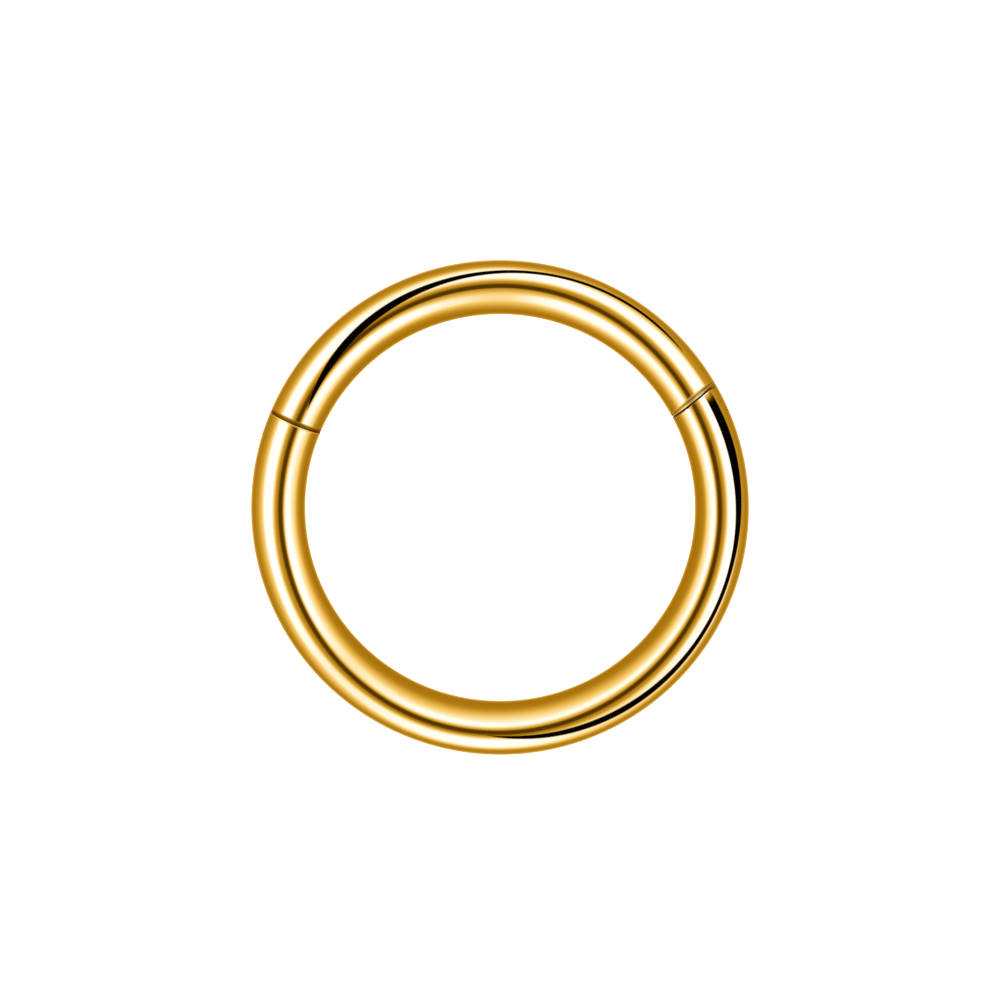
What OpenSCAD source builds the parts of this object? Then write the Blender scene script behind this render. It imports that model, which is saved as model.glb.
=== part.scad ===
// A hinged clicker ring, lying on its side with its axis along Z.
// A long arc of round wire is closed by a short arc, which turns on a pin at
// one seam and snaps shut at the other. The pin runs parallel to the ring's axis.

/* [Hoop] */
// Diameter of the round wire
wire_d = 1.2; // [1.15:0.05:1.4]
// Inner diameter of the closed hoop
inner_d = 8.6; // [7:0.1:12]

/* [Seams] */
// Direction of the hinge seam, anticlockwise from +X
hinge_at = 29.5; // [10:0.5:45]
// How far the hinge seam leans from the hoop's radius, its outer end anticlockwise
hinge_skew = 10; // [0:1:12]
// Direction of the catch seam, anticlockwise from +X
catch_at = 157; // [130:0.5:170]
// Gap between the two end faces at the hinge
hinge_gap = 0.04; // [0.03:0.005:0.05]
// Gap between the two end faces at the catch
catch_gap = 0.015; // [0.01:0.005:0.04]
// Width of the bevel round each end face
rim_bevel = 0.02; // [0.01:0.01:0.04]

/* [Hinge] */
// Diameter of the pin
pin_d = 0.2; // [0.16:0.01:0.22]
// How far the pin stands outward of the seam's middle
pin_out = 0.35; // [0.32:0.01:0.36]
// Radius of the fork's round outer corners, about the pin, so that the short
// arc's end face swings past them
cheek_r = 0.32; // [0.28:0.01:0.34]
// Thickness of the tongue that turns on the pin
tongue_t = 0.36; // [0.3:0.01:0.4]
// Radius of the tongue's round end
tongue_r = 0.3; // [0.28:0.01:0.32]

/* [Catch] */
// Thickness of the catch tongue
catch_t = 0.32; // [0.26:0.01:0.38]
// How far the catch tongue reaches past the seam
catch_l = 0.5; // [0.4:0.05:0.7]
// How far the catch tongue reaches inward of the wire's centre line
catch_in = 0.2; // [0.1:0.05:0.25]
// Radius of the snap bump on each side of the catch tongue
bump_r = 0.08; // [0.07:0.01:0.09]
// How far the bump stands out of the tongue
bump_h = 0.03; // [0.02:0.005:0.04]

/* [Clearances] */
// Play beside and round each tongue
play = 0.02; // [0.015:0.005:0.03]
// Play between the pin and the tongue's bore
pin_play = 0.015; // [0.01:0.005:0.03]
// Gap between the pin and the fork that holds it
pin_seat = 0.005; // [0.005:0.001:0.01]

/* [Hidden] */
$fn = 96;
wire_r = wire_d / 2;
hoop_r = inner_d / 2 + wire_r;
pin_r = pin_d / 2;
past = 0.2;                         // how far a cutting shape runs past a face
root = 0.4;                         // how deep a tongue is rooted in its arc
hinge_half = hinge_gap / 2;
catch_half = catch_gap / 2;
spare = 4;                          // degrees of wire that an end is trimmed from
slot_half = tongue_t / 2 + play;    // half the width of the fork's slot
pin_back = cheek_r + hinge_half;    // the pin's distance behind the seam
catch_slot_half = catch_t / 2 + play;
bump_at = [0.15, 0.25];             // the bump's place on the catch tongue
dimple_play = 0.015;

// Puts its children at a seam: X outward, Y along the wire, anticlockwise, Z up.
// At the hinge both lean with the seam.
module at_seam(angle) {
    rotate([0, 0, angle]) translate([hoop_r, 0, wire_r])
        rotate([0, 0, angle == hinge_at ? hinge_skew : 0]) children();
}

// A plain arc of the wire between two directions
module wire_arc(from, to) {
    translate([0, 0, wire_r])
        rotate_extrude(start = from, angle = to - from)
            translate([hoop_r, 0]) circle(wire_r);
}

// A block on one side of a face, to trim an arc's end: above it for side 1
module trim(half_gap, side) {
    long = 3 * past;
    translate([-wire_d, side > 0 ? -half_gap : half_gap - long, -wire_d])
        cube([2 * wire_d, long, 2 * wire_d]);
}

// The V-shaped groove that bevels the rims of both faces at a seam
module rim_groove(angle, half_gap) {
    at_seam(angle) rotate([90, 0, 0]) rotate_extrude()
        polygon([[wire_r - rim_bevel, half_gap], [wire_r + past, half_gap + rim_bevel + past],
                 [wire_r + past, -half_gap - rim_bevel - past], [wire_r - rim_bevel, -half_gap]]);
}

// A flat plate of an outline, centred on the wire's middle plane
module plate(thickness) {
    translate([0, 0, -thickness / 2]) linear_extrude(thickness) children();
}

// The hinge tongue's outline, grown by a clearance: round about the pin,
// then straight along the wire
module hinge_outline(grow, reach) {
    translate([pin_out, -pin_back]) {
        circle(tongue_r + grow);
        translate([-tongue_r - grow, 0]) square([wire_d, pin_back + reach]);
    }
}

// The catch tongue's outline, grown by a clearance, with a round inner tip
module catch_outline(grow, reach) {
    tip_r = catch_in + grow;
    translate([-catch_in - grow, -reach]) square([wire_d, reach + catch_l - catch_in]);
    translate([0, catch_l - catch_in]) circle(tip_r);
    translate([0, -reach]) square([wire_d, reach + catch_l + grow]);
}

// What the round outer corner leaves out of a square one
module corner_waste() {
    translate([pin_out, -pin_back]) difference() {
        square([wire_r, pin_back + past]);
        circle(cheek_r);
    }
}

// Two snap bumps, one on each side of the catch tongue
module snap_bumps(grow) {
    for (side = [-1, 1])
        translate([bump_at[0], bump_at[1], side * (catch_t / 2 + bump_h - bump_r)])
            sphere(bump_r + grow);
}

// The long arc, with the hinge fork at one end and the catch slot at the other
module ring_body() {
    color("goldenrod") difference() {
        wire_arc(catch_at - spare, 360 + hinge_at + spare);
        rim_groove(hinge_at, hinge_half);
        rim_groove(catch_at, catch_half);
        at_seam(hinge_at) {
            trim(hinge_half, 1);
            plate(2 * slot_half) hinge_outline(play, past);
            plate(wire_d + past) corner_waste();
            translate([pin_out, -pin_back, 0])
                cylinder(h = wire_d + past, r = pin_r + pin_seat, center = true);
        }
        at_seam(catch_at) {
            trim(catch_half, -1);
            plate(2 * catch_slot_half) catch_outline(play, past);
            snap_bumps(dimple_play);
        }
    }
}

// The short arc, with the hinge tongue at one end and the catch tongue at the other
module hinged_segment() {
    color("gold") difference() {
        union() {
            difference() {
                wire_arc(hinge_at - spare, catch_at + spare);
                rim_groove(hinge_at, hinge_half);
                rim_groove(catch_at, catch_half);
                at_seam(hinge_at) trim(hinge_half, -1);
                at_seam(catch_at) trim(catch_half, 1);
            }
            intersection() {
                wire_arc(hinge_at - 20, catch_at + 20);
                union() {
                    at_seam(hinge_at) plate(tongue_t) hinge_outline(0, root);
                    at_seam(catch_at) plate(catch_t) catch_outline(0, root);
                }
            }
            at_seam(catch_at) snap_bumps(0);
        }
        at_seam(hinge_at) translate([pin_out, -pin_back, 0])
            cylinder(h = wire_d, r = pin_r + pin_play, center = true);
    }
}

// The pin, its ends polished flush with the wire
module hinge_pin() {
    color("khaki") intersection() {
        at_seam(hinge_at) translate([pin_out, -pin_back, 0])
            cylinder(h = wire_d, r = pin_r, center = true);
        wire_arc(hinge_at - 20, hinge_at + 20);
    }
}

ring_body();
hinged_segment();
hinge_pin();
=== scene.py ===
"""A hinged clicker ring of polished gold wire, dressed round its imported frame.

The ring lies on its side, its axis along Z. Shapes are worked out with numpy in
millimetres and turned into metres when a piece is finished. Two directions name
a place on the wire's skin: "around" is the direction round the hoop, and
"across" the angle round the wire, from its outer side over its top.
"""

import logging
import math
from dataclasses import dataclass
from enum import Enum

import bmesh
import bpy
import numpy as np
from bpy.types import ID, Material, Mesh, Node, NodeTree, Object
from mathutils import Matrix, Vector


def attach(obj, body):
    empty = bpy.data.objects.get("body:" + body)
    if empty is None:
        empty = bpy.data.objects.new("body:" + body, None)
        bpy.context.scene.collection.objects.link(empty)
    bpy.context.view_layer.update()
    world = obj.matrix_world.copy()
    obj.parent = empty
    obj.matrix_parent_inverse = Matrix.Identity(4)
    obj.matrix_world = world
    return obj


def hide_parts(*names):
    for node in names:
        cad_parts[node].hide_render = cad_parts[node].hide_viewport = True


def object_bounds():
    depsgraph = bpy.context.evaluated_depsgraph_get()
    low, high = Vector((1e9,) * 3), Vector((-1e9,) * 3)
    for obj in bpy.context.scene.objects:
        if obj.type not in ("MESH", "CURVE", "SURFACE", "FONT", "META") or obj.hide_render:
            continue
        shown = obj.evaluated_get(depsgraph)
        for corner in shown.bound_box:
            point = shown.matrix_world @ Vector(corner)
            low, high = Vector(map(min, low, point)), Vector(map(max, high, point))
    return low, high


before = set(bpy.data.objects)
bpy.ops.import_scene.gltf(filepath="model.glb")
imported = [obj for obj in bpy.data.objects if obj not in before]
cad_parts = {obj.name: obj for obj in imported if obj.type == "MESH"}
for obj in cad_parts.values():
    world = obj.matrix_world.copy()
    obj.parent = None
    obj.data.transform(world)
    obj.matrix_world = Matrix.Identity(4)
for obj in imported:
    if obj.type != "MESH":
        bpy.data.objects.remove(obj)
CAD_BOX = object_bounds()

# Lengths are in millimetres and angles in degrees, here and in all the sizes below.
MM = 0.001          # metres
ROUND_STEPS = 120   # facets round the wire
ARC_STEP = 0.6      # angle between two rings of the wire
OUTLINE_STEPS = 40  # facets of a half turn in an outline
BALL_ROWS = 24      # rings of a ball, from pole to pole
BALL_STEPS = 32     # facets round a ball
BALL_POLE = 86.0    # where a ball ends in a small flat face
TOOL_REACH = 1.2    # how far a cutting tool runs past what it cuts
SLOT_REACH = 0.2    # how far a slot's tool runs past its seam
ROOT = 0.4          # how deep a tongue is rooted in its arc
WELD = 0.0002       # points closer than this are merged
STRAIGHT = 6.0      # a point amid an edge that bends less is dropped
SHARP = 24.0        # an edge that bends more is sharp
LEVEL = 9.0         # a face that leans more off the wire's skin isn't part of it
ON_SKIN = 0.002     # a point nearer to the wire's skin is on it
EASED = 0.0008      # a face deeper under the skin is cut,
DEEP = 0.03         # and one deeper than this is machined
CORNER_FIT = 0.01   # how well a round corner's faces keep to its radius
# Material slots. The two darker rim slots paint shade lines along the seams, and the machined slot's darker
# gold paints shade in cuts and gaps.
SKIN, MACHINED_AND_SHADED, RIM_LIGHT, RIM_PAINTED_SHADE, RIM_PAINTED_DEEP_SHADE = range(5)
Array = np.ndarray
Colour = tuple[float, float, float]
log = logging.getLogger("clicker_ring")


class Cut(Enum):
    """What a Boolean does with its tool."""

    TAKE_AWAY = "DIFFERENCE"
    JOIN = "UNION"
    KEEP_COMMON = "INTERSECT"


class Tone(Enum):
    """The tones that gold shows in the studio, each as a screen colour from 0 to 1."""

    BLACK = (0.0, 0.0, 0.0)
    UMBER = (0.30, 0.195, 0.0)
    DEEP = (0.67, 0.455, 0.05)
    MID = (0.78, 0.585, 0.17)
    LIGHT = (0.968, 0.768, 0.375)
    CREAM = (1.0, 0.94, 0.77)
    WHITE = (1.02, 1.02, 1.01)


def screen_to_light(colour: Array) -> Array:
    """Turns screen values, 1 being white, into linear light by the sRGB curve."""
    return np.where(colour <= 0.04045, colour / 12.92, ((colour + 0.055) / 1.055) ** 2.4)


def full_turn(steps: int) -> Array:
    """Angles evenly round a full turn, in radians."""
    return np.linspace(0, 2 * math.pi, steps, endpoint=False)


@dataclass(frozen=True)
class Hoop:
    """The round wire's centre circle, one wire radius above the floor."""

    hoop_r: float
    wire_r: float

    @classmethod
    def from_box(cls, box: tuple[Vector, Vector]) -> "Hoop":
        """Reads the sizes off the closed ring's box in metres, to a hundredth of a millimetre."""
        half_x, _, half_z = (box[1] - box[0]) / 2 / MM
        return cls(round(half_x - half_z, 2), round(half_z, 2))

    def point(self, around: Array, across: Array, radius: Array) -> Array:
        """Points at a distance from the wire's centre circle.

        The distance from the hoop's axis is hoop_r + radius * cos(across), and the
        height is wire_r + radius * sin(across).

        Args:
            around: directions round the hoop, in radians.
            across: angles round the wire, in radians.
            radius: distances from the centre circle.

        Returns:
            The points, with X, Y and Z last.
        """
        reach = self.hoop_r + radius * np.cos(across)
        height = self.wire_r + radius * np.sin(across) + 0 * around
        return np.stack([reach * np.cos(around), reach * np.sin(around), height], axis=-1)

    def angles(self, points: Array) -> tuple[Array, Array]:
        """The directions of points, round the hoop and round the wire, in radians."""
        outward = np.hypot(points[..., 0], points[..., 1]) - self.hoop_r
        return np.arctan2(points[..., 1], points[..., 0]), np.arctan2(points[..., 2] - self.wire_r, outward)

    def section(self, points: Array) -> tuple[Array, Array]:
        """Distances and normals of points, measured from the wire's centre circle.

        Args:
            points: any points, with X, Y and Z last.

        Returns:
            Each point's distance, and the unit vector straight away from the circle.
        """
        flat = np.hypot(points[..., 0], points[..., 1])
        outward, up = flat - self.hoop_r, points[..., 2] - self.wire_r
        away = np.hypot(outward, up)
        safe = np.maximum(away, 1e-9)
        level = outward / safe / np.maximum(flat, 1e-9)
        return away, np.stack([level * points[..., 0], level * points[..., 1], up / safe], axis=-1)


@dataclass(frozen=True)
class Seam:
    """One of the two cuts through the wire.

    Its own axes are X outward, Y along the wire, anticlockwise, and Z up, from the
    wire's centre line. X and Y may lean anticlockwise from the hoop's radius and
    tangent by the skew.
    """

    hoop: Hoop
    direction: float
    skew: float
    half_gap: float

    def place(self, points: Array) -> Array:
        """Moves points from the seam's own axes to the ring's.

        Args:
            points: the points, with X, Y and Z last.

        Returns:
            The moved points.
        """
        turn, lean = math.radians(self.direction), math.radians(self.direction + self.skew)
        x, y = points[..., 0], points[..., 1]
        return np.stack([self.hoop.hoop_r * math.cos(turn) + math.cos(lean) * x - math.sin(lean) * y,
                         self.hoop.hoop_r * math.sin(turn) + math.sin(lean) * x + math.cos(lean) * y,
                         self.hoop.wire_r + points[..., 2]], axis=-1)

    def own(self, points: Array) -> tuple[Array, Array]:
        """The seam's own X and Y of points in the ring's axes.

        Args:
            points: the points, with X, Y and Z last.

        Returns:
            Each point's X and Y.
        """
        skew, lean = math.radians(self.skew), math.radians(self.direction + self.skew)
        x, y = points[..., 0], points[..., 1]
        return (math.cos(lean) * x + math.sin(lean) * y - self.hoop.hoop_r * math.cos(skew),
                math.cos(lean) * y - math.sin(lean) * x + self.hoop.hoop_r * math.sin(skew))

    def rings(self, radius: Array, along: Array) -> Array:
        """Rings round the bent wire, each in a plane beside the seam.

        At a reach from the hoop's axis, the direction of a ring's point is the
        seam's lean plus the angle whose sine is (along - hoop_r sin(skew)) / reach.

        Args:
            radius: each ring's distance from the wire's centre circle.
            along: the seam's own Y of each ring's points.

        Returns:
            The points by ring and by place in the ring.
        """
        across = full_turn(ROUND_STEPS)[None, :]
        reach = self.hoop.hoop_r + radius[:, None] * np.cos(across)
        offset = along - self.hoop.hoop_r * math.sin(math.radians(self.skew))
        around = math.radians(self.direction + self.skew) + np.arcsin(offset / reach)
        return self.hoop.point(around, across, radius[:, None])


@dataclass(frozen=True)
class Rim:
    """The edge of an end face, eased step by step; the darker steps' gold paints shade lines along the seam.

    The first step starts on the face itself. The last one ends on the wire's skin.
    The taper is the share of their width that the steps lose at the wire's sides.
    """

    drops: tuple[float, ...]
    distances: tuple[float, ...]
    slots: tuple[int, ...]
    taper: float = 0.0

    def width(self, rise: Array) -> Array:
        """The steps' share of their full width, by the sine of the angle round the wire."""
        return 1 - self.taper * (1 - np.abs(rise))

    def slot_at(self, distance: Array, rise: Array) -> Array:
        """The material slot at each distance from the face: the polished one past the rim."""
        steps = np.searchsorted(np.array(self.distances[1:]), distance / self.width(rise))
        return np.array(self.slots + (SKIN,))[np.minimum(steps, len(self.slots))]


@dataclass(frozen=True)
class HingeSizes:
    """The hinge: its place, pin, fork and tongue."""

    direction: float = 29.5
    skew: float = 10.0
    half_gap: float = 0.02
    pin_out: float = 0.35
    pin_r: float = 0.1
    pin_seat: float = 0.005
    pin_play: float = 0.015
    cheek_r: float = 0.32
    tongue_half: float = 0.18
    tongue_r: float = 0.3
    play: float = 0.02


@dataclass(frozen=True)
class CatchSizes:
    """The snap catch: its place, tongue and bumps."""

    direction: float = 157.0
    skew: float = 0.0
    half_gap: float = 0.0075
    tongue_half: float = 0.16
    tongue_long: float = 0.5
    tongue_in: float = 0.2
    bump_r: float = 0.08
    bump_out: float = 0.03
    bump_x: float = 0.15
    bump_y: float = 0.25
    dimple_play: float = 0.015
    play: float = 0.02


# Rims of the seams. The light steps are a rough gold; the darker gold and brown steps paint the shade lines
# along each seam.
CRISP_RIM = Rim((0.006, 0.0), (0.0, 0.008), (SKIN,))
HINGE_RIM = Rim((0.012, 0.007, 0.003, 0.0), (0.0, 0.038, 0.10, 0.13), (RIM_LIGHT, RIM_PAINTED_SHADE, RIM_LIGHT), 0.9)
CATCH_RIM = Rim((0.010, 0.004, 0.0), (0.0, 0.05, 0.08), (RIM_PAINTED_DEEP_SHADE, RIM_PAINTED_SHADE), 0.2)
SOCKET_RIM = Rim((0.008, 0.0055, 0.0), (0.0, 0.012, 0.045), (RIM_PAINTED_DEEP_SHADE, RIM_LIGHT), 0.3)


def add_object(name: str, data: ID) -> Object:
    """Makes an object and puts it in the scene, at the origin.

    Args:
        name: its name.
        data: its mesh, lamp or camera.

    Returns:
        The object.
    """
    made = bpy.data.objects.new(name, data)
    bpy.context.scene.collection.objects.link(made)
    return made


def loft(rings: Array, name: str = "tool") -> Mesh:
    """Joins rings of points into a closed skin, with a flat face at either end.

    Ring i and ring i + 1 are joined point by point, in four-sided faces.

    Args:
        rings: points by ring and by place in the ring.
        name: the mesh's name.

    Returns:
        The mesh, in millimetres, with its faces outward.
    """
    count, size = rings.shape[:2]
    first = np.arange(count - 1)[:, None] * size + np.arange(size)[None, :]
    after = np.roll(first, -1, axis=1)
    sides = np.stack([first, after, after + size, first + size], axis=-1).reshape(-1, 4)
    ends = [list(range(size))[::-1], list(range((count - 1) * size, count * size))]
    mesh = bpy.data.meshes.new(name)
    mesh.from_pydata(rings.reshape(-1, 3).tolist(), [], sides.tolist() + ends)
    work = bmesh.new()
    work.from_mesh(mesh)
    if work.calc_volume(signed=True) < 0:
        mesh.flip_normals()
    work.free()
    mesh.update()
    return mesh


def wire_arc(hoop: Hoop, start: float, end: float, name: str = "tool") -> Mesh:
    """A plain arc of the wire: a circle of wire_r carried along the centre circle."""
    around = np.radians(np.linspace(start, end, int(math.ceil((end - start) / ARC_STEP)) + 1))[:, None]
    return loft(hoop.point(around, full_turn(ROUND_STEPS)[None, :], np.float64(hoop.wire_r)), name)


def prism(seam: Seam, outline: Array, half: float) -> Mesh:
    """A flat plate of an outline in a seam's X and Y, centred on the wire's middle plane.

    Args:
        seam: the seam that carries the axes.
        outline: X and Y of the outline's points.
        half: half the plate's thickness.

    Returns:
        The plate's mesh.
    """
    rings = np.empty((2, len(outline), 3))
    rings[..., :2] = outline
    rings[..., 2] = [[-half], [half]]
    return loft(seam.place(rings))


def ball(seam: Seam, centre: tuple[float, float, float], radius: float) -> Mesh:
    """A sphere with its poles along Z, each pole a small flat face.

    Args:
        seam: the seam that carries the axes.
        centre: the sphere's middle in those axes.
        radius: its radius.

    Returns:
        The sphere's mesh.
    """
    rise = np.radians(np.linspace(-BALL_POLE, BALL_POLE, BALL_ROWS))[:, None]
    turn = full_turn(BALL_STEPS)[None, :]
    rings = np.stack([np.cos(rise) * np.cos(turn), np.cos(rise) * np.sin(turn),
                      np.sin(rise) + 0 * turn], axis=-1)
    return loft(seam.place(np.array(centre) + radius * rings))


def arc_points(centre: tuple[float, float], radius: float, start: float, end: float) -> Array:
    """Points along a circular arc.

    Args:
        centre: X and Y of the arc's middle.
        radius: the arc's radius.
        start: first angle.
        end: last angle.

    Returns:
        X and Y of the points, both ends included.
    """
    steps = max(2, int(abs(end - start) / 180 * OUTLINE_STEPS) + 1)
    turn = np.radians(np.linspace(start, end, steps))
    return np.stack([centre[0] + radius * np.cos(turn), centre[1] + radius * np.sin(turn)], axis=-1)


def carve(mesh: Mesh, cut: Cut, *tools: Mesh) -> Mesh:
    """Cuts, joins or crosses a closed mesh with others in turn, by exact Booleans.

    Args:
        mesh: the mesh that is worked on, and used up.
        cut: what is done.
        tools: the other meshes, which are used up.

    Returns:
        The new mesh.
    """
    for tool in tools:
        objects = [add_object(each.name, each) for each in (mesh, tool)]
        step = objects[0].modifiers.new("carve", "BOOLEAN")
        step.operation = cut.value
        step.solver = "EXACT"
        step.object = objects[1]
        graph = bpy.context.evaluated_depsgraph_get()
        made = bpy.data.meshes.new_from_object(objects[0].evaluated_get(graph))
        made.name = mesh.name
        for one in objects:
            bpy.data.objects.remove(one)
        for used in (mesh, tool):
            bpy.data.meshes.remove(used)
        mesh = made
    return mesh


def weld(mesh: Mesh) -> None:
    """Clears up after the Booleans, so that no face is a sliver or folds on its neighbour.

    Points almost on top of each other are merged, and points amid an edge dropped.

    Args:
        mesh: the mesh, in millimetres, which is changed.
    """
    work = bmesh.new()
    work.from_mesh(mesh)
    bmesh.ops.remove_doubles(work, verts=work.verts, dist=WELD)
    bmesh.ops.dissolve_degenerate(work, edges=work.edges, dist=WELD)
    bmesh.ops.dissolve_limit(work, angle_limit=math.radians(STRAIGHT), verts=work.verts, edges=[])
    work.to_mesh(mesh)
    work.free()


def fill(node: Node, values: dict[str, object]) -> None:
    """Sets the values of a node's sockets, by their names."""
    for name, value in values.items():
        node.inputs[name].default_value = value


def add_node(tree: NodeTree, kind: str, values: dict[str, object] | None = None) -> Node:
    """Adds a shader node.

    Args:
        tree: the tree it goes in.
        kind: the node's type.
        values: the values of its sockets, by their names.

    Returns:
        The node.
    """
    node = tree.nodes.new("ShaderNode" + kind)
    fill(node, values or {})
    return node


def link(tree: NodeTree, *links: tuple) -> None:
    """Links shader nodes, each link given as node, its output, the other node, its input."""
    for source, output, target, entry in links:
        tree.links.new(source.outputs[output], target.inputs[entry])


@dataclass(frozen=True)
class GoldFinish:
    """Gold with a given polish.

    The colour and the roughness wander a little, as plating does, and fine polishing
    marks run in the bump.
    """

    name: str
    colour: Colour = (0.98, 0.62, 0.15)
    patch_colour: Colour = (0.97, 0.59, 0.125)
    edge_tint: Colour = (1.0, 0.86, 0.5)
    patch_size: float = 0.9
    rough_low: float = 0.03
    rough_high: float = 0.055
    mark_size: float = 0.03
    mark_depth: float = 0.00002
    mark_stretch: float = 1.0

    def material(self) -> Material:
        """Builds the node material, which reads Object coordinates."""
        made = bpy.data.materials.new(self.name)
        made.use_nodes = True
        tree = made.node_tree
        tree.nodes.clear()
        out, place, tint = (add_node(tree, kind) for kind in ("OutputMaterial", "TexCoord", "Mix"))
        gold = add_node(tree, "BsdfPrincipled", {"Metallic": 1.0, "Specular Tint": (*self.edge_tint, 1)})
        patches = add_node(tree, "TexNoise", {"Scale": 1 / (self.patch_size * MM), "Detail": 3.0})
        tint.data_type = "RGBA"
        fill(tint, {"A": (*self.colour, 1), "B": (*self.patch_colour, 1)})
        polish = add_node(tree, "MapRange", {"From Min": 0.3, "From Max": 0.7,
                                             "To Min": self.rough_low, "To Max": self.rough_high})
        stretch = add_node(tree, "Mapping", {"Scale": (1, 1, 1 / self.mark_stretch)})
        marks = add_node(tree, "TexNoise", {"Scale": 1 / (self.mark_size * MM), "Detail": 4.0})
        relief = add_node(tree, "Bump", {"Strength": 1.0, "Distance": self.mark_depth * MM})

        link(tree, (place, "Object", patches, "Vector"), (patches, "Fac", tint, "Factor"),
             (tint, "Result", gold, "Base Color"), (patches, "Fac", polish, "Value"),
             (polish, "Result", gold, "Roughness"), (place, "Object", stretch, "Vector"),
             (stretch, "Vector", marks, "Vector"), (marks, "Fac", relief, "Height"),
             (relief, "Normal", gold, "Normal"), (gold, "BSDF", out, "Surface"))
        return made


# In the order of the slots: the mirror skin, the machined cuts, whose darker gold paints the shade in cuts
# and gaps, and the seams' rims, whose darker gold and brown paint shade lines along the seams.
FINISHES = (
    GoldFinish("polished_gold"),
    # The machined cuts: their roughness and long marks are real machining, while the darker gold and dark
    # edge tint paint the shade in the slots and seam gaps.
    GoldFinish("machined_gold_painted_shade", (0.52, 0.24, 0.02), (0.48, 0.215, 0.017), (0.1, 0.05, 0.01),
               rough_low=0.3, rough_high=0.4, mark_size=0.02, mark_depth=0.0006, mark_stretch=12.0),
    GoldFinish("rim_light_gold", (1.0, 0.58, 0.075), (1.0, 0.58, 0.075), rough_low=0.4, rough_high=0.45),
    # Darker golds that paint shade lines along the seams.
    GoldFinish("rim_painted_shade_gold", (0.55, 0.235, 0.01), (0.55, 0.235, 0.01), rough_low=0.45, rough_high=0.5),
    GoldFinish("rim_painted_deep_shade", (0.27, 0.09, 0.0), (0.27, 0.09, 0.0), rough_low=0.45, rough_high=0.5),
)


def read(items: bpy.types.bpy_prop_collection, name: str, width: int = 1, kind: type = float) -> Array:
    """Reads one value of all the points, corners or faces of a mesh.

    Args:
        items: the points, corners or faces.
        name: the value's name.
        width: how many numbers it has.
        kind: their type.

    Returns:
        The numbers by item, and by place if the value has several.
    """
    values = np.empty(len(items) * width, kind)
    items.foreach_get(name, values)
    return values.reshape(-1, width) if width > 1 else values


def corner_normals(mesh: Mesh, hoop: Hoop) -> Array:
    """The normals for the corners of a carved mesh's faces.

    A corner on the wire's skin takes the skin's own normal, straight away from the
    centre circle, so that a cut beside it leaves no dent in the shine.

    Args:
        mesh: the carved mesh.
        hoop: the centre circle.

    Returns:
        A unit vector for each corner.
    """
    corners = read(mesh.loops, "vertex_index", kind=int)
    faces = np.repeat(read(mesh.polygons, "normal", 3), read(mesh.polygons, "loop_total", kind=int), axis=0)
    away, skin = hoop.section(read(mesh.vertices, "co", 3))
    on_skin = np.abs(away[corners] - hoop.wire_r) < ON_SKIN
    agree = np.sum(faces * skin[corners], axis=1) > math.cos(math.radians(LEVEL))
    return np.where((on_skin & agree)[:, None], skin[corners], read(mesh.corner_normals, "vector", 3))


# An eased edge: its seam, its rim, and the side of the seam it is on. A round corner:
# its seam, its middle in the seam's axes, and its radius.
Edge = tuple[Seam, Rim, int]
Corner = tuple[Seam, tuple[float, float], float]


def face_slots(mesh: Mesh, hoop: Hoop, edges: tuple[Edge, ...], corner: Corner | None) -> Array:
    """The material slot of each face, by how deep it lies under the wire's skin.

    Args:
        mesh: the carved mesh.
        hoop: the centre circle.
        edges: its eased edges.
        corner: its round corner, which is satin gold, darkened as painted shade.

    Returns:
        The slots.
    """
    centres = read(mesh.polygons, "center", 3)
    away, skin = hoop.section(centres)
    depth = hoop.wire_r - away
    # Faces deep under the skin take the machined finish, whose darker gold paints the shade in cuts and
    # gaps.
    slots = np.where(depth > DEEP, MACHINED_AND_SHADED, SKIN)
    # Rim steps take their finishes; the darker ones paint the shade along each seam.
    for seam, rim, side in edges:
        distance = side * seam.own(centres)[1] - seam.half_gap
        on_rim = (depth > EASED) & (depth < DEEP) & (distance > 0) & (distance < rim.distances[-1])
        slots = np.where(on_rim, rim.slot_at(distance, skin[:, 2]), slots)
    if corner:
        seam, middle, radius = corner
        x, y = (own - from_middle for own, from_middle in zip(seam.own(centres), middle))
        rounded = (np.abs(np.hypot(x, y) - radius) < CORNER_FIT) & (x > 0) & (y > 0)
        slots = np.where(rounded & (depth > EASED), RIM_PAINTED_SHADE, slots)
    return slots


def finish_piece(mesh: Mesh, hoop: Hoop, materials: list[Material],
                 edges: tuple[Edge, ...] = (), corner: Corner | None = None) -> Object:
    """Gives a carved mesh its normals and finishes, and makes it a piece in metres.

    Args:
        mesh: the carved mesh, in millimetres.
        hoop: the centre circle.
        materials: the finishes' materials, in the order of the slots.
        edges: its eased edges.
        corner: its round corner.

    Returns:
        The piece's object, at the origin.
    """
    weld(mesh)
    mesh.polygons.foreach_set("use_smooth", np.ones(len(mesh.polygons), bool))
    mesh.set_sharp_from_angle(angle=math.radians(SHARP))
    normals = corner_normals(mesh, hoop)
    slots = face_slots(mesh, hoop, edges, corner)
    used = np.unique(slots)
    mesh.materials.clear()
    for slot in used:
        mesh.materials.append(materials[slot])
    mesh.polygons.foreach_set("material_index", np.searchsorted(used, slots).astype(np.int32))
    mesh.normals_split_custom_set(normals.tolist())
    mesh.transform(Matrix.Scale(MM, 4))
    mesh.update()
    piece = add_object(mesh.name, mesh)
    piece.visible_diffuse = False  # no gold glow on the floor
    return piece


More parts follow.
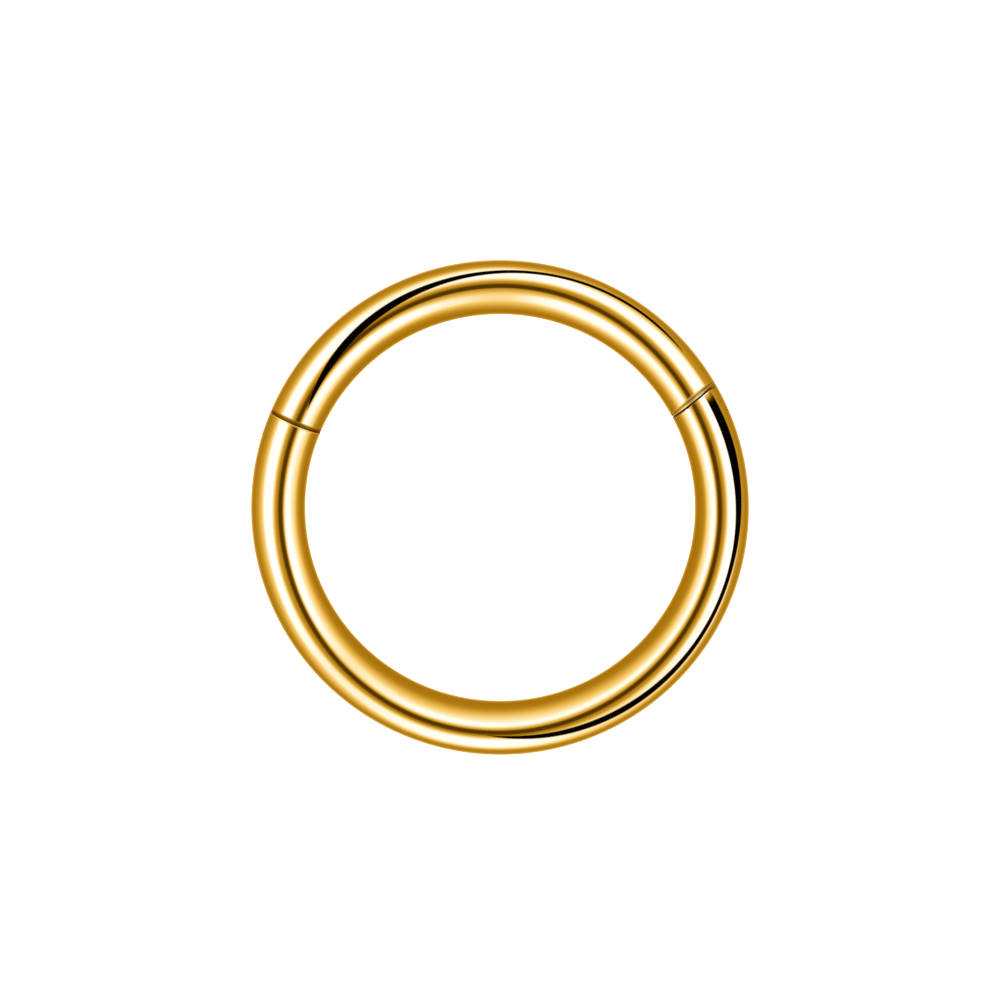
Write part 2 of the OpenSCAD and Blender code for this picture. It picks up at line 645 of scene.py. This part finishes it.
@dataclass
class Clicker:
    """What the ring's three pieces share: the hoop, the two seams and the joints' outlines."""

    hoop: Hoop
    materials: list[Material]
    hinge: HingeSizes = HingeSizes()
    catch: CatchSizes = CatchSizes()

    def seam(self, joint: HingeSizes | CatchSizes) -> Seam:
        """The seam at the hinge or at the catch."""
        return Seam(self.hoop, joint.direction, joint.skew, joint.half_gap)

    def pin_place(self) -> tuple[float, float]:
        """X and Y of the pin in the hinge seam's axes."""
        return self.hinge.pin_out, -self.hinge.cheek_r - self.hinge.half_gap

    def hinge_outline(self, grow: float, reach: float) -> Array:
        """The hinge tongue: a half circle round the pin, then straight along the wire.

        Args:
            grow: clearance all round.
            reach: how far past the seam it runs.

        Returns:
            X and Y of the outline.
        """
        radius = self.hinge.tongue_r + grow
        x, y = self.pin_place()
        tip = arc_points((x, y), radius, 180, 360)
        return np.vstack([tip, [[x + radius, reach], [x - radius, reach]]])

    def catch_outline(self, grow: float, reach: float) -> Array:
        """The catch tongue: straight along the wire, its tip rounded on the inner side.

        Args:
            grow: clearance all round.
            reach: how far back past the seam it runs.

        Returns:
            X and Y of the outline.
        """
        radius = self.catch.tongue_in + grow
        tip_y = self.catch.tongue_long - self.catch.tongue_in
        outside = 2 * self.hoop.wire_r
        tip = arc_points((0, tip_y), radius, 180, 90)
        return np.vstack([tip, [[outside, tip_y + radius], [outside, -reach], [-radius, -reach]]])

    def pin_tool(self, radius: float, half: float) -> Mesh:
        """A round bar on the hinge's axis, of a radius and half a length."""
        outline = arc_points(self.pin_place(), radius, 0, 351)  # one more facet closes it
        return prism(self.seam(self.hinge), outline, half)

    def end_tool(self, seam: Seam, side: int, rim: Rim) -> Mesh:
        """A solid, wider than the wire, that trims the end of an arc and eases its rim.

        Its flat face stands at the seam's gap, and a flaring rim eases the arc's own.

        Args:
            seam: the seam.
            side: 1 to cut what lies before the gap, -1 to cut what lies after it.
            rim: the rim that it leaves.

        Returns:
            The tool's mesh.
        """
        skin, last = self.hoop.wire_r, rim.distances[-1]
        past, flare, wide = 0.01, 0.05, skin + 0.2
        slope = rim.drops[-2] / (last - rim.distances[-2])
        back = np.linspace(last, -TOOL_REACH, 5)
        radius = np.concatenate([skin - np.array(rim.drops), [skin + past * slope],
                                 np.full(1 + len(back), wide)])
        along = np.concatenate([rim.distances, [last + past, last + flare], back])[:, None]
        rise = np.sin(full_turn(ROUND_STEPS))[None, :]
        along = np.where(along > 0, along * rim.width(rise), along)
        return loft(seam.rings(radius, side * (seam.half_gap + along)))

    def bumps(self, grow: float) -> list[Mesh]:
        """The two snap bumps, one on each side of the catch tongue.

        Args:
            grow: clearance round each bump.

        Returns:
            The two spheres.
        """
        sizes = self.catch
        height = sizes.tongue_half + sizes.bump_out - sizes.bump_r
        return [ball(self.seam(self.catch), (sizes.bump_x, sizes.bump_y, side * height), sizes.bump_r + grow)
                for side in (-1, 1)]


class RingBody(Clicker):
    """The long arc, with the hinge's fork at one end and the catch's socket at the other."""

    def hinge_tool(self) -> Mesh:
        """All that is cut away at the hinge: end, slot, outer corners and pin hole."""
        sizes, seam = self.hinge, self.seam(self.hinge)
        x, y = self.pin_place()
        slot = prism(seam, self.hinge_outline(sizes.play, SLOT_REACH), sizes.tongue_half + sizes.play)
        corner = np.vstack([arc_points((x, y), sizes.cheek_r, 0, 90),
                            [[x, SLOT_REACH], [x + TOOL_REACH, SLOT_REACH], [x + TOOL_REACH, y]]])
        hole = self.pin_tool(sizes.pin_r + sizes.pin_seat, half=0.8)
        return carve(self.end_tool(seam, -1, CRISP_RIM), Cut.JOIN, slot, prism(seam, corner, half=0.7), hole)

    def catch_tool(self) -> Mesh:
        """All that is cut away at the catch: end, slot and dimples."""
        sizes, seam = self.catch, self.seam(self.catch)
        slot = prism(seam, self.catch_outline(sizes.play, SLOT_REACH), sizes.tongue_half + sizes.play)
        return carve(self.end_tool(seam, 1, SOCKET_RIM), Cut.JOIN, slot, *self.bumps(sizes.dimple_play))

    def build(self) -> Object:
        """Builds and dresses the long arc."""
        spare = 4  # past each seam, cut away again
        arc = wire_arc(self.hoop, self.catch.direction - spare, 360 + self.hinge.direction + spare,
                       "ring_body_gold")
        arc = carve(arc, Cut.TAKE_AWAY, self.hinge_tool(), self.catch_tool())
        piece = finish_piece(arc, self.hoop, self.materials, ((self.seam(self.catch), SOCKET_RIM, 1),),
                             (self.seam(self.hinge), self.pin_place(), self.hinge.cheek_r))
        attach(piece, "ring")
        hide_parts("ring_body")
        return piece


class HingedSegment(Clicker):
    """The short arc, with the hinge's tongue at one end and the catch's at the other."""

    def build(self) -> Object:
        """Builds and dresses the short arc."""
        spare = 8  # past each seam, where only a tongue is left of it
        arc = wire_arc(self.hoop, self.hinge.direction - spare, self.catch.direction + spare,
                       "hinged_segment_gold")
        for seam, side, rim, outline, half in (
                (self.seam(self.hinge), 1, HINGE_RIM, self.hinge_outline(0, ROOT), self.hinge.tongue_half),
                (self.seam(self.catch), -1, CATCH_RIM, self.catch_outline(0, ROOT), self.catch.tongue_half)):
            waste = carve(self.end_tool(seam, side, rim), Cut.TAKE_AWAY, prism(seam, outline, half))
            arc = carve(arc, Cut.TAKE_AWAY, waste)
        arc = carve(arc, Cut.JOIN, *self.bumps(0))
        arc = carve(arc, Cut.TAKE_AWAY, self.pin_tool(self.hinge.pin_r + self.hinge.pin_play, half=0.5))
        piece = finish_piece(arc, self.hoop, self.materials,
                             ((self.seam(self.hinge), HINGE_RIM, 1), (self.seam(self.catch), CATCH_RIM, -1)))
        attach(piece, "segment")
        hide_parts("hinged_segment")
        return piece


class HingePin(Clicker):
    """The pin, its ends polished flush with the wire."""

    def build(self) -> Object:
        """Builds and dresses the pin."""
        before, past = 9, 3  # the seam, to either side of the pin
        bar = self.pin_tool(self.hinge.pin_r, half=0.8)
        bar.name = "hinge_pin_gold"
        wire = wire_arc(self.hoop, self.hinge.direction - before, self.hinge.direction + past)
        piece = finish_piece(carve(bar, Cut.KEEP_COMMON, wire), self.hoop, self.materials)
        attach(piece, "ring")
        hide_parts("hinge_pin")
        return piece


@dataclass(frozen=True)
class PhotoView:
    """Where the ring is seen from. Pixels are those of a 1000 x 1000 picture.

    The camera stands far off, a little to one side of the ring's axis.
    """

    hoop: Hoop
    tilt: float = 6.8
    toward: float = 86.7
    distance: float = 250.0
    scale: float = 45.29
    middle_x: float = 500.05
    middle_y: float = 508.0
    picture: float = 1000.0
    sensor: float = 36.0

    def axes(self) -> tuple[Array, Array, Array]:
        """The picture's right, its up and the way back to the camera, as unit vectors."""
        tilt, toward = math.radians(self.tilt), math.radians(self.toward)
        back = np.array([math.sin(tilt) * math.cos(toward), math.sin(tilt) * math.sin(toward),
                         math.cos(tilt)])
        up = np.array([0.0, 1.0, 0.0]) - back[1] * back
        up /= np.linalg.norm(up)
        return np.cross(up, back), up, back

    def eye(self) -> Array:
        """The camera's place, in millimetres."""
        right, up, back = self.axes()
        half = self.picture / 2
        aim = (np.array([0, 0, self.hoop.wire_r]) + right * (half - self.middle_x) / self.scale
               + up * (self.middle_y - half) / self.scale)
        return aim + back * self.distance

    def build(self) -> None:
        """Makes the camera and hands it to the scene."""
        right, up, back = self.axes()
        lens = bpy.data.cameras.new("photo_camera")
        lens.sensor_width = self.sensor
        lens.lens = self.sensor * self.distance * self.scale / self.picture
        lens.clip_start = 0.01
        lens.clip_end = 10.0
        camera = add_object("photo_camera", lens)
        place = Matrix(np.stack([right, up, back], axis=1).tolist()).to_4x4()
        place.translation = Vector((self.eye() * MM).tolist())
        camera.matrix_world = place
        bpy.context.scene.camera = camera


# The light tent's plan, by which its glow paints the reflection seen in the wire. Each
# row is a direction round the hoop, in degrees. The other columns say how far out across
# the wire each band's edge shows, from 1 at the wire's outer edge to -1 at its inner
# edge: where the outer flank turns to mid gold, where the outer light starts and ends,
# the dark slit's middle, where the inner light starts, begins to fade and ends, and
# where the inner flank turns to mid gold. The last two columns are the lights'
# strengths, as steps on the scale of tones.
TENT_COLUMNS = ("around", "outer_gold", "outer_on", "outer_off", "slit", "inner_on", "inner_fade",
                "inner_off", "inner_gold", "outer_tone", "inner_tone")
TENT_PLAN = np.array([
    (-165, 0.75, 0.577, 0.245, -0.045, -0.167, -0.48, -0.555, -0.695, 6.0, 6.0),
    (-150, 0.785, 0.628, 0.305, 0.025, -0.105, -0.375, -0.472, -0.662, 5.9, 6.0),
    (-135, 0.825, 0.657, 0.363, 0.10, -0.068, -0.30, -0.392, -0.603, 5.2, 4.9),
    (-110, 0.825, 0.758, 0.416, 0.193, 0.023, -0.228, -0.322, -0.582, 5.8, 5.9),
    (-85, 0.81, 0.762, 0.40, 0.175, -0.01, -0.232, -0.383, -0.615, 5.9, 5.8),
    (-60, 0.83, 0.75, 0.377, 0.103, -0.10, -0.293, -0.36, -0.64, 4.8, 5.9),
    (-35, 0.785, 0.743, 0.285, 0.025, -0.155, -0.333, -0.42, -0.594, 5.8, 5.9),
    (-10, 0.73, 0.708, 0.215, -0.045, -0.19, -0.407, -0.507, -0.60, 6.0, 6.0),
    (15, 0.71, 0.62, 0.165, -0.096, -0.244, -0.49, -0.566, -0.65, 6.0, 6.0),
    (40, 0.65, 0.607, 0.168, -0.074, -0.286, -0.522, -0.586, -0.727, 6.0, 5.9),
    (65, 0.81, 0.615, 0.283, 0.005, -0.204, -0.547, -0.594, -0.733, 6.0, 6.0),
    (77.5, 0.78, 0.67, 0.297, 0.043, -0.198, -0.505, -0.547, -0.71, 6.0, 5.8),
    (90, 0.765, 0.705, 0.295, 0.045, -0.262, -0.45, -0.485, -0.717, 5.8, 4.55),
    (115, 0.745, 0.65, 0.25, 0.01, -0.198, -0.498, -0.53, -0.65, 5.6, 6.0),
    (140, 0.717, 0.595, 0.205, -0.045, -0.215, -0.522, -0.58, -0.68, 6.0, 6.0),
    (165, 0.719, 0.58, 0.165, -0.088, -0.248, -0.475, -0.588, -0.69, 6.0, 5.7),
    (180, 0.741, 0.578, 0.178, -0.08, -0.217, -0.49, -0.59, -0.697, 6.0, 6.0),
])

# How the tone runs across the wire, from its outer edge to its inner one: by which
# column of the plan a stop goes, its place from there, and its tone or the tone's
# column. Three columns are worked out: "wire" is 0, "between" is midway from the
# slit to the inner light, and "fade_tone" is the inner light's tone, FADED at most.
FADED = 5.0
TONE_STOPS = (
    ("wire", 1.0, 4.2), ("wire", 0.96, 3.1), ("wire", 0.925, 2.3), ("wire", 0.89, 2.1),
    ("outer_gold", 0.0, 3.0), ("outer_on", 0.0, 4.3), ("outer_on", -0.08, "outer_tone"),
    ("outer_off", 0.06, "outer_tone"), ("outer_off", 0.0, 4.4), ("outer_off", -0.05, 3.5),
    ("outer_off", -0.08, 2.95), ("slit", 0.145, 2.7), ("slit", 0.10, 2.0), ("slit", 0.05, 1.05),
    ("slit", -0.055, 1.05), ("slit", -0.08, 1.8), ("slit", -0.10, 3.0), ("between", -0.05, 3.7),
    ("inner_on", 0.0, 4.5), ("inner_on", -0.06, "inner_tone"), ("inner_fade", 0.08, "inner_tone"),
    ("inner_fade", 0.0, "fade_tone"), ("inner_off", 0.0, 4.4), ("inner_gold", 0.0, 3.0),
    ("inner_gold", -0.09, 2.25), ("wire", -0.86, 1.95), ("wire", -0.925, 2.1), ("wire", -0.96, 3.0),
    ("wire", -1.0, 4.2),
)

# Two dark streaks painted into the tent's light, which show black in the wire's reflection:
# direction round the hoop, place across the wire as above, and half the streak's width.
# The first runs over the short arc, the second fades in at the hinge seam and runs over
# the long arc.
SHORT_DARK_STREAK = np.array([
    (41, 0.70, 0.005), (45, 0.71, 0.028), (49, 0.718, 0.041), (55, 0.724, 0.046), (67.5, 0.696, 0.047),
    (80, 0.628, 0.05), (92.5, 0.541, 0.063), (105, 0.439, 0.088), (117.5, 0.324, 0.126),
    (130, 0.181, 0.132), (140, 0.016, 0.12), (146.5, -0.106, 0.07), (152, -0.205, 0.005),
])
LONG_DARK_STREAK = np.array([
    (-93, 0.30, 0.005), (-87.5, 0.358, 0.047), (-75, 0.476, 0.091), (-62.5, 0.556, 0.105),
    (-50, 0.602, 0.097), (-37.5, 0.62, 0.079), (-25, 0.619, 0.069), (-12.5, 0.61, 0.076),
    (0, 0.61, 0.105), (14, 0.603, 0.147), (20, 0.588, 0.151), (29.5, 0.55, 0.145),
])


def smooth_line(where: Array, at: Array, values: Array) -> Array:
    """Carries a value smoothly from row to row.

    Between two rows it is the cubic that has, at each row, the slope of the line
    through that row's two neighbours.

    Args:
        where: the places wanted.
        at: the rows' places, rising.
        values: the rows' values.

    Returns:
        The values there, with the end rows' values past the ends.
    """
    where = np.clip(where, at[0], at[-1])
    slope = np.concatenate([[(values[1] - values[0]) / (at[1] - at[0])],
                            (values[2:] - values[:-2]) / (at[2:] - at[:-2]),
                            [(values[-1] - values[-2]) / (at[-1] - at[-2])]])
    i = np.clip(np.searchsorted(at, where, side="right") - 1, 0, len(at) - 2)
    width = at[i + 1] - at[i]
    t = (where - at[i]) / width
    return ((2 * t ** 3 - 3 * t ** 2 + 1) * values[i] + (t ** 3 - 2 * t ** 2 + t) * width * slope[i]
            + (3 * t ** 2 - 2 * t ** 3) * values[i + 1] + (t ** 3 - t ** 2) * width * slope[i + 1])


def smooth_round(around: Array, at: Array, values: Array) -> Array:
    """Carries a value smoothly from row to row, as smooth_line does, all the way round."""
    turn = np.concatenate([at[-2:] - 360, at, at[:3] + 360])
    return smooth_line((around - at[0]) % 360 + at[0], turn, np.pad(values, (2, 3), mode="wrap"))


@dataclass
class PaintedReflectionTent:
    """A tube round the wire which glows with a painted reflection, and which only the polish sees.

    Its bright and dark bands are set out by where they show in the wire. Each point
    of the tube stands where the line of sight to one place on the wire goes on to
    after its reflection.
    """

    hoop: Hoop
    view: PhotoView
    gold: GoldFinish = FINISHES[SKIN]
    tube_r: float = 3.0
    above_floor: float = 0.01
    around_steps: int = 720
    across_steps: int = 160
    under_steps: int = 40
    halvings: int = 40
    stop_gap: float = 1e-4  # least distance between two stops across the wire
    blur: tuple[int, ...] = (1, 2, 3, 2, 1)
    streak_edge: float = 0.022
    fade_over: float = 4.2
    fade_end: float = 0.36
    overlap: float = 40.0

    def tube_reach(self, across: Array) -> Array:
        """The tube's radius at each angle round the wire: tube_r, or less where the floor is nearer."""
        drop = np.maximum(-np.sin(across), 1e-6)
        return np.minimum(self.tube_r, (self.hoop.wire_r - self.above_floor) / drop)

    def seen(self, around: Array, spread: Array) -> tuple[Array, Array]:
        """Where the tube is met by the sight lines, after their reflection in the wire.

        The wire's place is at the angle whose cosine is the spread, counted from the
        outline. A sight line v turns at a normal n to 2 (n.v) n - v. The meeting point
        is found by halving a range of distances.

        Args:
            around: directions round the hoop, in radians, as a column.
            spread: places across the wire, from 1 to -1, as a row.

        Returns:
            The directions of the points met, round the hoop and round the wire.
        """
        eye = self.view.eye()
        centre = self.hoop.point(around, np.zeros_like(spread), np.float64(0))
        sight = eye - centre
        outward = sight[..., 0] * np.cos(around) + sight[..., 1] * np.sin(around)
        facing = np.arctan2(sight[..., 2], outward)
        across = facing - math.pi / 2 + np.arccos(spread)
        start = self.hoop.point(around, across, np.float64(self.hoop.wire_r))
        _, normal = self.hoop.section(start)
        sight = eye - start
        sight /= np.linalg.norm(sight, axis=-1, keepdims=True)
        bounce = 2 * np.sum(normal * sight, axis=-1, keepdims=True) * normal - sight
        near, far = np.zeros(across.shape), np.full(across.shape, 4 * self.tube_r)
        for _ in range(self.halvings):
            middle = (near + far) / 2
            met = start + middle[..., None] * bounce
            inside = self.hoop.section(met)[0] < self.tube_reach(self.hoop.angles(met)[1])
            near, far = np.where(inside, middle, near), np.where(inside, far, middle)
        turn, across = self.hoop.angles(met)
        return np.unwrap(turn, axis=0), np.unwrap(across, axis=1)

    def tones(self, degrees: Array, spread: Array) -> Array:
        """The tone that shows at each place: bands first, then the painted dark streaks over them.

        The tone runs straight from stop to stop, and is blurred a little across.

        Args:
            degrees: directions round the hoop.
            spread: places across the wire, from 1 to -1.

        Returns:
            Steps on the scale of tones, by direction and place.
        """
        plan = {name: smooth_round(degrees, TENT_PLAN[:, 0], TENT_PLAN[:, k])[:, None]
                for k, name in enumerate(TENT_COLUMNS) if k}
        plan["wire"] = np.zeros_like(plan["slit"])
        plan["between"] = (plan["slit"] + plan["inner_on"]) / 2
        plan["fade_tone"] = np.minimum(plan["inner_tone"], FADED)
        places = np.stack([plan[column] + offset for column, offset, _ in TONE_STOPS])
        steps = np.stack([plan["wire"] + plan.get(tone, tone) for _, _, tone in TONE_STOPS])
        gaps = self.stop_gap * np.arange(len(TONE_STOPS))[:, None, None]
        places = np.minimum.accumulate(places, axis=0) - gaps
        share = np.clip((places[:-1] - spread) / (places[:-1] - places[1:]), 0, 1)
        tone = steps[0] + np.sum(share * (steps[1:] - steps[:-1]), axis=0)
        wide = np.pad(tone, ((0, 0), (len(self.blur) // 2,) * 2), mode="edge")
        tone = sum(part * wide[:, k:k + tone.shape[1]] for k, part in enumerate(self.blur)) / sum(self.blur)
        # Dark streaks painted into the tube's light show as black streaks in the wire's reflection.
        for painted_streak, fades in ((SHORT_DARK_STREAK, False), (LONG_DARK_STREAK, True)):
            tone *= 1 - self.painted_streak(degrees[:, None], spread, painted_streak, fades)
        return tone

    def painted_streak(self, degrees: Array, spread: Array, rows: Array, fades: bool) -> Array:
        """How far a painted dark streak covers each place, from 0 to 1.

        Args:
            degrees: directions round the hoop, from -180 to 180, as a column.
            spread: places across the wire.
            rows: the streak's rows.
            fades: whether it fades towards its last end and is cut square there.

        Returns:
            The cover.
        """
        middle = smooth_line(degrees, rows[:, 0], rows[:, 1])
        within = (degrees >= rows[0, 0]) & (degrees <= rows[-1, 0])
        half = np.where(within, smooth_line(degrees, rows[:, 0], rows[:, 2]), -1)
        cover = np.clip((half - np.abs(spread - middle)) / self.streak_edge + 0.5, 0, 1)
        if fades:
            cover = cover * np.clip((rows[-1, 0] - degrees) / self.fade_over + self.fade_end, 0, 1)
        return cover * cover * (3 - 2 * cover)

    def glow(self, tone: Array, spread: Array) -> Array:
        """The light that makes a tone show in gold: the tone over the gold's reflectance.

        With c the cosine between sight line and normal, at least 0.3, the reflectance
        is base + (1 - base) (1 - c)^5 - k c (1 - c)^6, where k is such that at c = 1/7
        the edge tint multiplies the first two terms.

        Args:
            tone: steps on the scale of tones.
            spread: places across the wire, the sines of that angle.

        Returns:
            Linear red, green and blue.
        """
        scale = np.array([t.value for t in Tone])
        look = np.stack([np.interp(tone, np.arange(len(scale)), scale[:, k]) for k in range(3)], axis=-1)
        cosine = np.sqrt(np.clip(1 - spread ** 2, 0.09, 1))[..., None]
        base, tint = np.array(self.gold.colour), np.array(self.gold.edge_tint)
        edge = (base + (1 - base) * (6 / 7) ** 5) * (1 - tint) / (1 / 7 * (6 / 7) ** 6)
        return screen_to_light(look) / (base + (1 - base) * (1 - cosine) ** 5
                                        - edge * cosine * (1 - cosine) ** 6)

    def closed(self, values: Array, lap: float = 0.0) -> Array:
        """Carries values on under the wire, evenly from the last column to the first.

        Args:
            values: values by direction and place, and by colour if they are light.
            lap: what a full turn adds to them.

        Returns:
            The values with the columns under the wire.
        """
        last = values[:, -1:]
        share = np.linspace(0, 1, self.under_steps + 2)[1:-1].reshape((-1,) + (1,) * (values.ndim - 2))
        return np.hstack([values, last + (values[:, :1] + lap - last) * share])

    def build(self, start: float, end: float) -> None:
        """Makes the tube, closed under the wire, with its light as a colour attribute.

        It comes in two lengths, so that the light turns with the arc that it is for.
        Each runs on past its arc's free end, where the two are alike.

        Args:
            start: the hinge's direction.
            end: the catch's direction.
        """
        around = np.linspace(-math.pi, math.pi, self.around_steps, endpoint=False)[:, None]
        spread = np.linspace(1, -1, self.across_steps)[None, :]
        turn, across = self.seen(around, spread)
        tone = self.tones(np.degrees(around[:, 0]), spread)
        # The tube's light is a painted reflection: each point glows so that its place on the wire shows the
        # tone planned for it.
        light = self.glow(tone, spread)

        turn, across, light = self.closed(turn), self.closed(across, 2 * math.pi), self.closed(light)
        points = self.hoop.point(turn, across, self.tube_reach(across)) * MM

        count = self.around_steps
        first, last = (round((at + 180) / 360 * count) for at in (start, end))
        over = round(self.overlap / 360 * count)
        reflection_glow = self.reflection_glow()
        for body, low, high in (("segment", first, last + over), ("ring", last - over, first + count)):
            chosen = np.arange(low, high + 1) % count
            tent = self.length("tent_" + body, points[chosen], light[chosen], reflection_glow)
            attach(tent, body)

    def length(self, name: str, points: Array, light: Array, reflection_glow: Material) -> Object:
        """One length of the tube.

        Args:
            name: the object's name.
            points: its points, by direction and by place round the tube.
            light: the light at each point.
            reflection_glow: its material, which glows with the painted reflection.

        Returns:
            The object, seen by polish only.
        """
        rows, columns = points.shape[:2]
        number = np.arange(rows * columns).reshape(rows, columns)
        beside = np.roll(number, -1, axis=1)
        faces = np.stack([number[:-1], beside[:-1], beside[1:], number[1:]], axis=-1)
        mesh = bpy.data.meshes.new(name)
        mesh.from_pydata(points.reshape(-1, 3).tolist(), [], faces.reshape(-1, 4).tolist())
        paint = mesh.color_attributes.new("light", "FLOAT_COLOR", "POINT")
        paint.data.foreach_set("color", np.concatenate(
            [light, np.ones((rows, columns, 1))], axis=-1).astype(np.float32).ravel())
        mesh.materials.append(reflection_glow)
        mesh.update()
        tent = add_object(name, mesh)
        for ray in ("camera", "diffuse", "transmission", "volume_scatter", "shadow"):
            setattr(tent, "visible_" + ray, False)
        return tent

    def reflection_glow(self) -> Material:
        """A sheet that glows with the painted reflection on its inner side and lets light through from its
        outer one.
        """
        made = bpy.data.materials.new("tent_painted_reflection")
        made.use_nodes = True
        made.cycles.emission_sampling = "NONE"
        tree = made.node_tree
        tree.nodes.clear()
        out, light, glow, clear, side, pick = (add_node(tree, kind) for kind in (
            "OutputMaterial", "Attribute", "Emission", "BsdfTransparent", "NewGeometry", "MixShader"))
        light.attribute_name = "light"
        link(tree, (light, "Color", glow, "Color"), (side, "Backfacing", pick, "Fac"),
             (glow, "Emission", pick, 1), (clear, "BSDF", pick, 2), (pick, "Shader", out, "Surface"))
        return made


@dataclass
class Studio:
    """A plain pale floor under soft light."""

    floor_r: float = 900.0
    floor_steps: int = 96
    floor_colour: Colour = (0.93, 0.93, 0.93)
    lamp_size: float = 300.0
    lamp_height: float = 320.0
    lamp_power: float = 1.05
    sky: float = 0.95
    low_colour: Colour = (0.8, 0.76, 0.68)
    high_colour: Colour = (1.0, 1.0, 1.0)
    low_at: float = 0.35  # the surround's colours stand this far up from nadir to zenith
    high_at: float = 0.5

    def floor(self) -> None:
        """A round matt floor at height zero."""
        turn = full_turn(self.floor_steps)
        points = np.stack([np.cos(turn), np.sin(turn), 0 * turn], axis=-1) * self.floor_r * MM
        mesh = bpy.data.meshes.new("floor")
        mesh.from_pydata(points.tolist(), [], [list(range(len(turn)))])
        made = bpy.data.materials.new("pale_floor")
        made.use_nodes = True
        fill(made.node_tree.nodes["Principled BSDF"],
             {"Base Color": (*self.floor_colour, 1), "Roughness": 1.0, "Specular IOR Level": 0.0})
        mesh.materials.append(made)
        floor = add_object("floor", mesh)
        floor.visible_glossy = False  # the polish sees the surround instead

    def lamp(self) -> None:
        """A large square lamp above the ring, which the polish doesn't see."""
        data = bpy.data.lights.new("soft_lamp", "AREA")
        data.size = self.lamp_size * MM
        data.energy = self.lamp_power
        lamp = add_object("soft_lamp", data)
        lamp.location = (0, 0, self.lamp_height * MM)
        lamp.visible_glossy = False

    def world(self) -> None:
        """An even pale surround, a little warmer and darker below the horizon."""
        world = bpy.data.worlds.new("studio")
        world.use_nodes = True
        tree = world.node_tree
        background = tree.nodes["Background"]
        place, parts, ramp = (add_node(tree, kind) for kind in ("TexCoord", "SeparateXYZ", "ValToRGB"))
        rise = add_node(tree, "MapRange", {"From Min": -1.0})
        low, high = ramp.color_ramp.elements
        low.position, high.position = self.low_at, self.high_at
        low.color, high.color = (*self.low_colour, 1), (*self.high_colour, 1)
        fill(background, {"Strength": self.sky})
        link(tree, (place, "Generated", parts, "Vector"), (parts, "Z", rise, "Value"),
             (rise, "Result", ramp, "Fac"), (ramp, "Color", background, "Color"))
        bpy.context.scene.world = world

    def build(self) -> None:
        """Sets up the floor, the lamp and the surround, and shows colours as they are."""
        self.floor()
        self.lamp()
        self.world()
        bpy.context.scene.view_settings.view_transform = "Standard"


def main() -> None:
    """Builds the studio, the ring's pieces and the light tent, in that order."""
    logging.basicConfig(level=logging.INFO, format="%(name)s: %(message)s")
    hoop = Hoop.from_box(CAD_BOX)
    log.info("hoop radius %.2f mm, wire radius %.2f mm", hoop.hoop_r, hoop.wire_r)
    view = PhotoView(hoop)
    view.build()
    Studio().build()
    materials = [finish.material() for finish in FINISHES]
    for part in (RingBody, HingedSegment, HingePin):
        piece = part(hoop, materials).build()
        log.info("%s: %d faces", piece.name, len(piece.data.polygons))
    PaintedReflectionTent(hoop, view).build(HingeSizes.direction, CatchSizes.direction)


if __name__ == "__main__":
    main()
